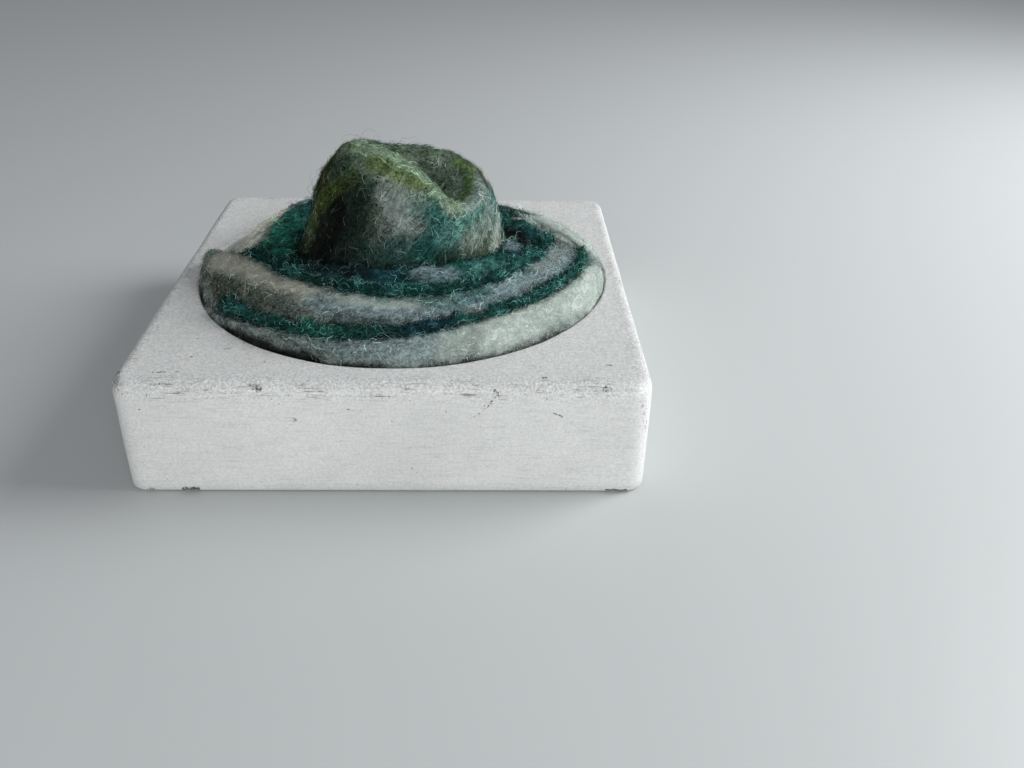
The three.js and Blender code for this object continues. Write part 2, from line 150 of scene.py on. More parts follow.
BRIM_WISPS = [
    Wisp("teal", 5, 0.7, [(-29, 26.5, 30), (-32, 21, 29), (-33, 5.5, 30.5)]),
    Wisp("blue_teal", 5, 0.5, [(-23.5, 10, 30), (-24.5, 0.5, 30.5), (-19.5, -14, 33)]),
    Wisp("bright_teal", 5, 0.7, [(-28, 17, 30), (-30, 5, 31), (-26, -5, 31.5)]),
    Wisp("cream", 4, 1.0, [(-37.5, 4.5, 27), (-36.5, 8, 27.5), (-36, 15, 27.5), (-33, 24, 27.5)]),
    Wisp("pale_beige", 3.8, 0.9, [(-39, -6, 29.8), (-36, -9.5, 30.3), (-31, -13, 30.8), (-25, -17.5, 31),
                                  (-18.5, -22, 31), (-10.5, -27, 30.8)]),
    Wisp("brown_grey", 3.2, 0.85, [(-40, -12, 26.5), (-35.5, -18, 27.5), (-30.5, -23, 28), (-25, -27, 28),
                                   (-19, -30.5, 28)]),
    Wisp("warm_grey", 3, 0.6, [(-42, -12, 24), (-38.5, -20, 23)]),
    Wisp("lilac_grey", 4, 0.8, [(-14.5, -28, 30), (-8.5, -30.5, 30), (-2, -31.5, 29.5), (4.5, -31.5, 29.5),
                                (10, -30.5, 29)]),
    Wisp("off_white", 2.2, 0.6, [(-9, -27.5, 31), (-2, -28.5, 31), (4.5, -28.7, 31)]),
    Wisp("dark_grey", 2, 0.6, [(-10.5, -33, 28.5), (-5, -34, 28.5), (-0.5, -34.5, 28)]),
    Wisp("lilac_grey", 4.5, 0.9, [(15.5, -26.5, 30.5), (21.5, -21.5, 30.5), (27, -15.5, 31), (32, -9, 30.5),
                                  (37, -2, 30)]),
    SEAM_NAVY,
    SEAM_GREEN,
    Wisp("lilac_grey", 2.6, 0.65, [(6.5, -22.5, 34), (11.5, -22.5, 33)]),
    Wisp("lilac_grey", 2.6, 0.8, [(23, 1, 30.5), (24.5, -6, 32.5)]),
    Wisp("near_black", 3, 0.95, [(23.5, 10.5, 31), (25.5, 5, 31.5), (27.5, 0.5, 32), (29, -2, 32)]),
    Wisp("deep_teal", 4.5, 0.8, [(23.5, 31.5, 28), (29, 26, 28.5), (33.5, 20, 29), (34.5, 12.5, 29)]),
    Wisp("navy_teal", 3, 0.8, [(-16, -18.5, 33), (-11, -21, 33.5), (-5, -23, 33.5), (1, -23.5, 33.5)]),
    Wisp("teal", 3.4, 0.8, [(15.5, -18.5, 33.5), (21.5, -15.5, 32.5), (26.5, -12, 32.5)]),
    Wisp("light_teal", 1.6, 0.4, [(17, -18, 33.8), (24, -14, 32.8)]),
    Wisp("off_white", 5, 0.4, [(5, -40, 26.3), (11, -38.3, 26.6), (17.5, -35.5, 26.9)]),
    Wisp("off_white", 4.2, 0.8, [(21.5, -33, 27), (29.5, -27, 27), (35.5, -20.5, 27), (41, -11.5, 27)]),
    Wisp("grey_teal", 4.5, 0.65, [(-33, -25, 25.5), (-26.5, -31.5, 25.5), (-20.5, -36, 26),
                                 (-13.5, -39.5, 26)]),
    Wisp("lilac_grey", 4, 0.7, [(-8, -39.5, 27), (2, -39.5, 26.5), (6.5, -39, 26.5)]),
    Wisp("grey_teal", 4.5, 0.35, [(-12, -39.5, 27), (-1, -40, 26.5)]),
    # Painted shade: this dark grey band darkens the outer roll's foot where it sits in the recess
    Wisp("dark_grey", 1.9, 0.65, [(14, -42, 22.8), (22, -38.3, 23), (29.5, -32.5, 23.2), (35.5, -26, 23.3),
                                  (39.5, -19.5, 23.3)]),
    Wisp("light_grey", 3.4, 0.75, [(-43, -11, 24.5), (-41, -16.5, 24), (-38, -21.5, 24)]),
    # These near-black bands along the outer roll's foot are partly dark wool on its underside and partly
    # painted shadow where it meets the recess
    Wisp("near_black", 1.3, 0.8, [(-39, -21.5, 22.3), (-34, -28.5, 22.6)]),
    Wisp("near_black", 2.65, 0.95, [(-34, -28.5, 22.8), (-30, -31.5, 23), (-21.5, -38, 23),
                                    (-14.5, -41, 22.8)]),
    Wisp("near_black", 2.3, 0.9, [(-14.5, -41, 22.6), (-5.5, -43, 22.5), (5, -43, 22.5), (12, -42.5, 22.5)]),
    Wisp("near_black", 1.6, 0.6, [(12, -42.5, 22.5), (22, -38.6, 22.6), (29.5, -33, 22.8),
                                  (35.5, -26.5, 23)]),
    Wisp("near_black", 3.5, 0.65, [(-21, -8, 33), (-17, -15.5, 33.5), (-12, -19, 33.7), (-6, -21.5, 33.8)]),
    Wisp("off_white", 5, 0.9, [(43.5, 6, 27.5), (40, 11.5, 28.5), (37, 16.5, 28.5), (31.5, 23, 28)]),
    Wisp("light_grey", 2.6, 0.6, [(30, -12, 31.5), (33, -7, 31.5), (36.5, -2, 31)]),
    Wisp("teal", 2.4, 0.6, [(8.5, -28, 31), (14, -27, 31), (19, -23.5, 31.3)]),
    Wisp("light_teal", 2.2, 0.85, [(-43, 0.2, 29.5), (-41.5, 1, 29.5)]),
    Wisp("light_teal", 1.5, 0.45, [(-31.5, -9.5, 31.3), (-26, -13.5, 31.8), (-21, -17.5, 32)]),
]
STRAND_WISPS = [
    SEAM_NAVY,
    SEAM_GREEN,
    Wisp("teal", 2.2, 0.45, [(-33, -22, 27.3), (-24, -30, 28)]),
    Wisp("teal", 2.6, 0.6, [(17, -32, 28.5), (25, -26, 28.5), (33, -17, 29), (38.5, -6, 29)]),
]

# What each felted piece is made of: its tones from the ground up, how its hairs lie, how uneven it
# is, its wisps and its kind of hair
Felt = namedtuple("Felt", "node slot ground lie uneven wisps hairs")
FELTS = {felt.node: felt for felt in (
    Felt("crown", "felt_green", ("mid_green", "dark_green", "teal", "warm_grey"), "up", 0.7,
         CROWN_WISPS, "fine"),
    Felt("inner_roll", "felt_teal", ("deep_teal", "blue_teal", "teal", "navy_teal"), "round", 1.7,
         BRIM_WISPS, "curly"),
    Felt("middle_roll", "felt_grey", ("warm_grey", "lilac_grey", "beige", "brown_grey"), "round", 0.65,
         BRIM_WISPS, "short"),
    Felt("outer_roll", "felt_white", ("light_grey", "pale_teal", "light_grey", "off_white"), "round", 0.5,
         BRIM_WISPS, "short"),
    Felt("outer_strand", "felt_teal", ("deep_teal", "teal", "blue_teal", "sea_green"), "round", 1.9,
         STRAND_WISPS, "tufty"),
    Felt("inner_strand", "felt_teal", ("deep_teal", "teal", "blue_teal", "teal"), "round", 1.9,
         [], "tufty"),
)}

# Strands whose wool is felted into the rolls beside them
BLEEDING = {"outer_strand": "deep_teal", "inner_strand": "teal"}

# Hairs by kind: how many on each square centimetre, their length, half thickness, spread to the
# sides, bow, lift of the loose end, curl's radius and turns, wander, and points on each
Hairs = namedtuple("Hairs", "count length thick spread bow lift curl turns wander points")
HAIRS = {
    "fine": Hairs(132, 2.4, 0.031, 1.5, 0.14, 0.15, 0.14, 1.0, 0.8, 4),
    "short": Hairs(132, 1.9, 0.032, 2.4, 0.15, 0.22, 0.22, 1.1, 0.9, 4),
    "curly": Hairs(61, 2.9, 0.044, 3.0, 0.4, 0.35, 0.55, 1.4, 1.2, 6),
    "tufty": Hairs(188, 2.2, 0.040, 3.0, 0.4, 0.45, 0.45, 1.1, 1.0, 5),
    "stray": Hairs(1.5, 7.0, 0.027, 2.5, 0.7, 0.45, 1.0, 0.7, 3.0, 12),
}

WOOL_SHADER = {"Roughness": 0.95, "Specular IOR Level": 0.03, "Sheen Weight": 0.02,
               "Sheen Roughness": 0.45, "Sheen Tint": (0.75, 0.8, 0.76, 1.0)}

# Marks in the block's paint: how far they reach from their line, how strong they are, and the
# line's points, in millimetres
Mark = namedtuple("Mark", "reach strength points")
TOP = 24.3  # height of the block's top
FRONT = -50.6  # place of its front
MARKS = [
    Mark(2.2, 0.6, [(-50, -46, 23.5), (-49.3, -49.1, 23.1)]),
    Mark(0.9, 0.75, [(-23.8, -49.9, 23.6), (-22.6, -50.2, 23.2)]),
    Mark(0.22, 0.9, [(-43.1, -46, TOP), (-40.6, -46, TOP)]),
    Mark(0.22, 0.9, [(-38.9, -45.9, TOP), (-37.6, -45.9, TOP)]),
    Mark(0.7, 0.6, [(-31.7, -36.9, TOP), (-31, -36.5, TOP)]),
    Mark(0.3, 1.0, [(-37.4, -40.2, TOP), (-37.3, -40.2, TOP)]),
    Mark(0.3, 1.0, [(-38.2, -32.8, TOP), (-38.1, -32.7, TOP)]),
    Mark(0.3, 0.9, [(-23.4, -42, TOP), (-23.2, -42.1, TOP)]),
    Mark(0.6, 0.6, [(-17.3, FRONT, 16.8), (-16.4, FRONT, 16.7)]),
    Mark(0.25, 0.9, [(-6.7, FRONT, 19.2), (-6.5, FRONT, 19.1)]),
    Mark(0.15, 0.6, [(-6.7, FRONT, 19.2), (-4.2, FRONT, 18.8)]),
    Mark(0.8, 0.65, [(20.6, -50.4, 23.2), (21.3, -50.5, 22.6)]),
    Mark(0.25, 0.65, [(20.8, FRONT, 22), (19.3, FRONT, 19.6)]),
    Mark(0.25, 0.5, [(19.3, FRONT, 19.6), (16.5, FRONT, 17.4)]),
    Mark(0.25, 0.45, [(42.8, -32.5, TOP), (35.8, -44.3, TOP)]),
    Mark(0.25, 0.45, [(5.8, FRONT, 12.1), (0.4, FRONT, 3.9)]),
    Mark(0.3, 0.6, [(2.9, FRONT, 5.1), (4.7, FRONT, 5.8)]),
    Mark(0.22, 0.8, [(31.7, FRONT, 18.6), (33.4, FRONT, 17.7)]),
    Mark(0.5, 0.75, [(29.6, -47.4, TOP), (30.2, -47.4, TOP)]),
    Mark(0.3, 0.8, [(30.7, -32.7, TOP), (30.8, -32.6, TOP)]),
    Mark(0.7, 0.65, [(42.4, -42.3, TOP), (43, -42.4, TOP)]),
    Mark(0.8, 0.65, [(41.2, -50, 23.5), (42, -50, 23.5)]),
    Mark(0.8, 0.7, [(-45.6, FRONT, 0.5), (-46.4, FRONT, 0.4)]),
    Mark(0.8, 0.85, [(-39.5, FRONT, 0.6), (-37, FRONT, 0.6)]),
    Mark(0.5, 0.85, [(43, FRONT, 0.5), (47, FRONT, 0.5)]),
    Mark(1.4, 0.45, [(48.6, -50.2, 21), (49.8, -49.5, 14)]),
]

# Fineness of the block's mesh
SIDE_STEPS = 70
CORNER_STEPS = 10
UPRIGHT_STEPS = 12
EDGE_STEPS = 6
TOP_STEPS = 20
LIP_STEPS = 4
WALL_STEPS = 3

# Where one tone or one lie of the wool fades into the next
WISP_FADE = (0.45, 1.25)  # shares of a wisp's half width
BLEED_FADE = (0.3, 1.4)  # millimetres from a strand
SEAM_FADE = (0.8, 2.4)  # millimetres from a seam
RIDGE_FADE = (0.72, 0.86)  # shares of the crown's height
RIDGE_WAY = np.array([0.84, -0.38, -0.38])  # the lie of the hairs along the crown's ridge

# The felt's relief and clouds of tone, in millimetres
GROUND_WIDTH = 11.0
LUMP_WIDTH = 5.0
TUFT_WIDTH = 1.7
FELT_SWELL = 0.15  # how far all felt lies outside its solid
SEAM_SWELL = 0.2  # and how much further in its seams
FOOT_SWELL = 0.2  # and how far at most below its foot

CAMERA_PLACE = (0.018333, -0.203760, 0.115489)
CAMERA_TURN = (-2.065, 30.604, 1.352)  # degrees: round the hat, above the floor, and of its own frame
CAMERA_FOCUS = 967.2  # pixels, in a picture 1024 pixels wide
PICTURE_WIDTH = 1024
SENSOR_WIDTH = 36.0


def linear(colour):
    """A colour as seen, as the linear light that Blender's sockets take."""
    return tuple(c / 12.92 if c <= 0.04045 else ((c + 0.055) / 1.055) ** 2.4 for c in colour)


def length_setting(name, description, default, **limits):
    """A setting that is a length, with its default in millimetres."""
    return FloatProperty(name=name, description=description, default=default * MM, unit="LENGTH", **limits)


def colour_setting(name, description, default):
    """A setting that is a colour, with its default as seen."""
    return FloatVectorProperty(name=name, description=description, subtype="COLOR", size=3, min=0.0,
                               max=1.0, default=linear(default))


class WoolTones(PropertyGroup):
    """The dyed wools."""


for tone_name, seen in TONES.items():
    label = tone_name.replace("_", " ").capitalize()
    WoolTones.__annotations__[tone_name] = colour_setting(label, "Colour of this dyed wool", seen)


class FeltSettings(PropertyGroup):
    """How the felted pieces are finished."""
    mesh_step: length_setting("Mesh step", "Size of the felt's faces", 0.7, min=0.3 * MM)
    lump_height: length_setting("Lump height", "How far the wool's lumps stand out", 0.45, min=0.0)
    tuft_height: length_setting("Tuft height", "How far its small tufts stand out", 0.3, min=0.0)
    hair_share: FloatProperty(name="Hair share", description="Share of the full number of loose hairs",
                              default=1.0, min=0.0, max=2.0)
    relief: length_setting("Relief", "Depth of the fibres in the felt's finish", 0.25, min=0.0)
    seed: IntProperty(name="Seed", description="Places the loose hairs and the drift of the tones",
                      default=7, min=1)


class BlockSettings(PropertyGroup):
    """The painted wooden block."""
    corner: length_setting("Corner", "Radius of the upright edges", 4)
    top_edge: length_setting("Top edge", "Radius of the worn top edge", 2.2)
    foot_edge: length_setting("Foot edge", "Chamfer of the bottom edge", 0.6)
    recess_radius: length_setting("Recess radius", "Radius of the round recess", 45.7)
    recess_depth: length_setting("Recess depth", "Depth of the round recess", 5)
    recess_cove: length_setting("Recess cove", "Chamfer at the recess's floor", 0.8)
    recess_lip: length_setting("Recess lip", "Radius of the recess's painted rim", 0.5)
    unevenness: length_setting("Unevenness", "How far the hand-cut faces wander", 0.12, min=0.0)
    paint: colour_setting("Paint", "Colour of the paint", (0.86, 0.86, 0.85))
    # Also the colour of the painted shade on the block's upward faces
    thin_paint_and_top_shade: colour_setting("Thin paint", "Colour where the paint is thin", (0.75, 0.752, 0.745))
    flake: colour_setting("Flake", "Colour of the thick crumbs of paint", (0.93, 0.93, 0.92))
    score: colour_setting("Score", "Colour in the fine scores of the paint", (0.45, 0.44, 0.44))
    bare_wood: colour_setting("Bare wood", "Colour of the wood where paint is gone", (0.25, 0.22, 0.20))


class StageSettings(PropertyGroup):
    """The floor and the light."""
    floor_size: length_setting("Floor size", "Width of the floor", 4000)
    floor_colour: colour_setting("Floor colour", "Colour of the floor", (0.72, 0.73, 0.73))
    sky: FloatProperty(name="Sky", description="Strength of the light from all round", default=0.33,
                       min=0.0)
    window: FloatProperty(name="Window", description="Power of the large soft light, in watts",
                          default=4.0, min=0.0)


class Wiring:
    """Builds a node tree: each call adds a node and sets or links its inputs."""

    def __init__(self, tree):
        self.tree = tree

    def feed(self, socket, value):
        if isinstance(value, bpy.types.NodeSocket):
            self.tree.links.new(value, socket)
        elif value is not None:
            socket.default_value = value

    def fill(self, node, inputs):
        for key, value in inputs.items():
            self.feed(node.inputs[key], value)

    def add(self, kind, inputs=None, **settings):
        node = self.tree.nodes.new(kind)
        for name, value in settings.items():
            setattr(node, name, value)
        self.fill(node, inputs or {})
        return node

    def math(self, operation, a, b=None, c=None, clamp=False):
        inputs = {0: a, 1: b, 2: c}
        return self.add("ShaderNodeMath", inputs, operation=operation, use_clamp=clamp).outputs[0]

    def plus(self, a, b):
        return self.math("ADD", a, b)

    def minus(self, a, b):
        return self.math("SUBTRACT", a, b)

    def times(self, a, b):
        return self.math("MULTIPLY", a, b)

    def times_plus(self, a, b, c):
        return self.math("MULTIPLY_ADD", a, b, c)

    def vector(self, operation, a, b=None):
        node = self.add("ShaderNodeVectorMath", {0: a, 1: b}, operation=operation)
        return node.outputs["Value" if operation in ("DOT_PRODUCT", "LENGTH") else "Vector"]

    def scaled(self, vector, scale):
        inputs = {0: vector, "Scale": scale}
        return self.add("ShaderNodeVectorMath", inputs, operation="SCALE").outputs["Vector"]

    def attribute(self, name, output="Fac"):
        return self.add("ShaderNodeAttribute", attribute_name=name).outputs[output]

    def combine(self, x, y, z):
        return self.add("ShaderNodeCombineXYZ", {0: x, 1: y, 2: z}).outputs[0]

    def separate(self, vector):
        return self.add("ShaderNodeSeparateXYZ", {0: vector}).outputs

    def noise(self, vector, scale, detail=2.0, rough=0.5, distortion=0.0):
        inputs = {"Vector": vector, "Scale": scale, "Detail": detail, "Roughness": rough,
                  "Distortion": distortion}
        return self.add("ShaderNodeTexNoise", inputs).outputs

    def range(self, value, low, high, to_low=0.0, to_high=1.0, smooth=True):
        inputs = {"Value": value, "From Min": low, "From Max": high, "To Min": to_low, "To Max": to_high}
        node = self.add("ShaderNodeMapRange", inputs)
        node.interpolation_type = "SMOOTHSTEP" if smooth else "LINEAR"
        return node.outputs["Result"]

    def mix(self, share, a, b):
        return self.add("ShaderNodeMix", {0: share, 6: a, 7: b}, data_type="RGBA").outputs[2]

    def bump(self, height, depth, strength=1.0):
        inputs = {"Height": height, "Distance": depth, "Strength": strength}
        return self.add("ShaderNodeBump", inputs).outputs[0]

    def millimetres(self):
        return self.scaled(self.add("ShaderNodeTexCoord").outputs["Object"], 1.0 / MM)


def clouds(points, size, shift):
    """Smooth noise from -1 to 1 at each point, in lumps about as wide as size."""
    return np.array([noise.noise(p) for p in (points / size + shift).tolist()])


def cloud_vectors(points, size, shift, seed):
    """A drift in all three directions at each point. Without a seed it would follow the clock."""
    noise.seed_set(seed)
    return np.array([noise.noise_vector(p) for p in (points / size + shift).tolist()])


def smoothstep(low, high, values):
    share = np.clip((values - low) / (high - low), 0.0, 1.0)
    return share * share * (3.0 - 2.0 * share)


def distance_to_line(points, line):
    """How far each point lies from a line through some points."""
    line = np.array(line, float)
    nearest = np.full(len(points), np.inf)
    for start, end in zip(line[:-1], line[1:]):
        along = end - start
        share = np.clip((points - start) @ along / (along @ along), 0.0, 1.0)
        gap = np.linalg.norm(points - start - share[:, None] * along, axis=1)
        nearest = np.minimum(nearest, gap)
    return nearest


@lru_cache(maxsize=None)
def surface_of(node):
    """A CAD solid's surface, in millimetres, to measure from."""
    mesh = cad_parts[node].data
    corners = [corner.co / MM for corner in mesh.vertices]
    return BVHTree.FromPolygons(corners, [tuple(face.vertices) for face in mesh.polygons])


def distance_to_node(points, node):
    """How far each point lies from a CAD solid, in millimetres."""
    surface = surface_of(node)
    return np.array([surface.find_nearest(p)[3] for p in points.tolist()])


def seam_share(points, node):
    """1 where another felted piece lies close by, going to 0 further off."""
    gap = np.full(len(points), np.inf)
    for felt in FELTS.values():
        if felt.node != node:
            gap = np.minimum(gap, distance_to_node(points, felt.node))
    return 1.0 - smoothstep(*SEAM_FADE, gap)


def places(mesh):
    """A mesh's vertices and their normals as arrays, the places in millimetres."""
    points = np.empty(len(mesh.vertices) * 3)
    normals = np.empty(len(mesh.vertices) * 3)
    mesh.vertices.foreach_get("co", points)
    mesh.vertices.foreach_get("normal", normals)
    return points.reshape(-1, 3) / MM, normals.reshape(-1, 3)


def put_places(mesh, points):
    mesh.vertices.foreach_set("co", (points * MM).ravel())
    mesh.update()


def put_attribute(mesh, name, kind, values):
    attribute = mesh.attributes.new(name, kind, "POINT")
    field = {"FLOAT": "value", "FLOAT_VECTOR": "vector", "FLOAT_COLOR": "color"}[kind]
    attribute.data.foreach_set(field, np.asarray(values, float).ravel())


def shade_smooth(mesh):
    mesh.polygons.foreach_set("use_smooth", np.ones(len(mesh.polygons), bool))


def linked(name, mesh):
    piece = bpy.data.objects.new(name, mesh)
    bpy.context.scene.collection.objects.link(piece)
    return piece


def settled(piece):
    """The piece's mesh with its modifiers applied, and the modifiers gone."""
    depsgraph = bpy.context.evaluated_depsgraph_get()
    mesh = bpy.data.meshes.new_from_object(piece.evaluated_get(depsgraph))
    piece.modifiers.clear()
    return mesh


def felt_base(name, node, step):
    """A CAD solid's form as an even mesh with its facets rounded off."""
    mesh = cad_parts[node].data.copy()
    mesh.name = name
    mesh.materials.clear()
    piece = linked(name, mesh)
    weld = piece.modifiers.new("Weld", "WELD")
    weld.merge_threshold = 0.001 * MM
    remesh = piece.modifiers.new("Even faces", "REMESH")
    remesh.mode = "VOXEL"
    remesh.voxel_size = step
    smooth = piece.modifiers.new("Rounding", "SMOOTH")
    smooth.factor = 0.5
    smooth.iterations = 8
    even = settled(piece)
    even.name = name
    piece.data = even
    return piece


def outward(points):
    """The level way out from the hat's axis at each point."""
    out = points[:, :2] - HAT_AXIS
    return out / np.maximum(np.linalg.norm(out, axis=1), 1e-6)[:, None]


def hair_lie(lie, points):
    """The way that the hairs lie at each point: round the brim, or up the crown and along its ridge."""
    out = outward(points)
    around = np.column_stack([-out[:, 1], out[:, 0], np.zeros(len(points))])
    if lie == "round":
        return around
    wall = around * 0.45 + np.array([0.0, 0.0, 1.0])
    top = smoothstep(*RIDGE_FADE, (points[:, 2] - HAT_FOOT) / (CROWN_TOP - HAT_FOOT))[:, None]
    return wall * (1.0 - top) + RIDGE_WAY * top


def hair_cover(lie, points, normals):
    """Where loose hairs grow: all over the outside, and not below or in the crown's hollow."""
    cover = smoothstep(-0.7, -0.1, normals[:, 2])
    if lie == "up":
        out = (outward(points) * normals[:, :2]).sum(1)
        hollow = (out < -0.2) & (points[:, 2] < HOLLOW_TOP)
        cover = np.where(hollow | (normals[:, 2] < -0.3), 0.0, cover)
    return cover


def felt_tones(felt, points, tufts, tones, shift, seed):
    """The tone of the wool at each point: clouds of the ground tones, then each wisp over them.

    It is painted darker in the hollows between the tufts and lighter on their tops, as shade and light, with
    the tufts going from -1 to 1.
    """
    colour = {name: np.array(getattr(tones, name)) for name in TONES}
    warp = cloud_vectors(points, 7.0, shift, seed) * 1.5 + cloud_vectors(points, 2.2, shift, seed) * 0.7
    streak = points.copy()
    if felt.lie == "round":
        streak[:, 2] *= 2.5
    else:
        streak[:, :2] *= 2.5
    ragged = clouds(streak, 3.0, shift + 5.0)
    result = np.tile(colour[felt.ground[0]], (len(points), 1))
    for layer, tone in enumerate(felt.ground[1:]):
        drift = clouds(points, GROUND_WIDTH, shift + 17.0 * (layer + 1)) + 0.35 * ragged
        share = 0.75 * smoothstep(0.0, 0.45, drift)[:, None]
        result += (colour[tone] - result) * share
    for wisp in felt.wisps:
        shifted = points + warp * min(1.0, wisp.width / 4.0)
        gap = distance_to_line(shifted, wisp.points) / wisp.width
        share = wisp.cover * (1.0 - smoothstep(*WISP_FADE, gap + 0.25 * ragged))
        result += (colour[wisp.tone] - result) * share[:, None]
    for node, tone in BLEEDING.items():
        if node != felt.node:
            gap = distance_to_node(points + 0.4 * warp, node) + 1.1 * ragged
            share = 0.65 * (1.0 - smoothstep(*BLEED_FADE, gap))
            result += (colour[tone] - result) * share[:, None]
    # Painted shade and light: the tone darkens in the tufts' hollows and lightens on their tops, as far as
    # the felt is uneven
    return result * (1.0 + 0.45 * felt.uneven * np.clip(tufts, -0.8, 0.8))[:, None]


def fibre_coordinates(w, lie):
    """Object coordinates stretched along the fibres, and the plain ones, in millimetres."""
    mm = w.millimetres()
    centred = w.vector("SUBTRACT", mm, (HAT_AXIS[0], HAT_AXIS[1], 0.0))
    drift = w.noise(mm, 0.09, 1.0)[1]
    if lie == "round":
        x, y, z = w.separate(centred)
        radius = w.vector("LENGTH", w.combine(x, y, 0.0))
        side = w.separate(drift)
        along = w.combine(w.times_plus(side[0], 14.0, radius), w.times_plus(side[1], 14.0, z),
                          w.times(x, 0.12))
        return along, mm
    turn = w.times(w.separate(centred)[2], -0.045)
    twisted = w.add("ShaderNodeVectorRotate", {"Vector": centred, "Angle": turn},
                    rotation_type="Z_AXIS").outputs[0]
    along = w.vector("MULTIPLY", twisted, (1.0, 1.0, 0.16))
    return w.vector("ADD", along, w.scaled(drift, 6.0)), mm


def calmed(w, tone, light):
    """Evens out how much lighter or darker the fibres are where the wool is pale."""
    paleness = w.range(w.vector("DOT_PRODUCT", tone, (0.3, 0.6, 0.1)), 0.08, 0.4, 0.0, 0.78)
    return w.plus(light, w.times(w.minus(1.12, light), paleness))


def thin_lines(w, value, level, width):
    """1 where a value crosses a level, going to 0 on both sides."""
    return w.range(w.math("ABSOLUTE", w.minus(value, level)), 0.0, width, 1.0, 0.0)


def new_finish(name):
    """A new material, the wiring of its nodes and its shader."""
    material = bpy.data.materials.new(name)
    material.use_nodes = True
    return material, Wiring(material.node_tree), material.node_tree.nodes["Principled BSDF"]


def wool_finish(name, lie, relief):
    """Felted wool: streaks and fine lines of lighter and darker fibre over the tone, with painted shade where
    its relief lies low, and a sheen.
    """
    material, w, shader = new_finish(name)
    tone = w.attribute("tone", "Color")
    along, plain = fibre_coordinates(w, lie)
    streaks = w.range(w.noise(along, 1.1, 3.0, 0.6, 0.4)[0], 0.38, 0.62, smooth=False)
    matted = w.range(w.noise(plain, 1.7, 3.0, 0.75, 1.2)[0], 0.39, 0.61, smooth=False)
    patches = w.range(w.noise(plain, 0.35, 2.0, 0.6)[0], 0.42, 0.60)
    light_lines = thin_lines(w, w.noise(along, 1.7, 2.0, 0.6, 1.5)[0], 0.52, 0.022)
    loose_lines = thin_lines(w, w.noise(plain, 1.3, 2.0, 0.65, 2.5)[0], 0.5, 0.020)
    depth = w.times_plus(streaks, 0.35, w.times(matted, 0.65))
    # Partly painted shade: the tone is darkest where the relief's height, depth, is lowest; the rest is tone
    # differing from fibre to fibre
    light = calmed(w, tone, w.range(depth, 0.1, 0.9, 0.15, 2.3, smooth=False))
    pale = w.vector("ADD", w.scaled(tone, 2.0), (0.014, 0.020, 0.017))
    lined = w.mix(w.times(w.times(light_lines, patches), 0.6), w.scaled(tone, light), pale)
    lined = w.mix(w.times(loose_lines, w.times_plus(patches, 0.5, 0.2)), lined, pale)
    height = w.plus(w.times_plus(light_lines, 0.3, depth), w.times(loose_lines, 0.3))
    w.fill(shader, {"Base Color": lined, "Normal": w.bump(height, relief), **WOOL_SHADER})
    return material


def hair_finish():
    """A single wool hair: the tone of the felt it grows from, lighter or darker from hair to hair."""
    material, w, shader = new_finish("Loose wool hair")
    tone = w.attribute("tone", "Color")
    shade = w.attribute("shade")
    light = calmed(w, tone, w.times_plus(w.math("POWER", shade, 6.0), 7.5, 0.18))
    pale = w.range(shade, 0.75, 1.0, 0.0, 0.15)
    hair = w.vector("ADD", w.scaled(tone, light), w.combine(pale, pale, pale))
    w.fill(shader, {"Base Color": hair, **WOOL_SHADER})
    return material


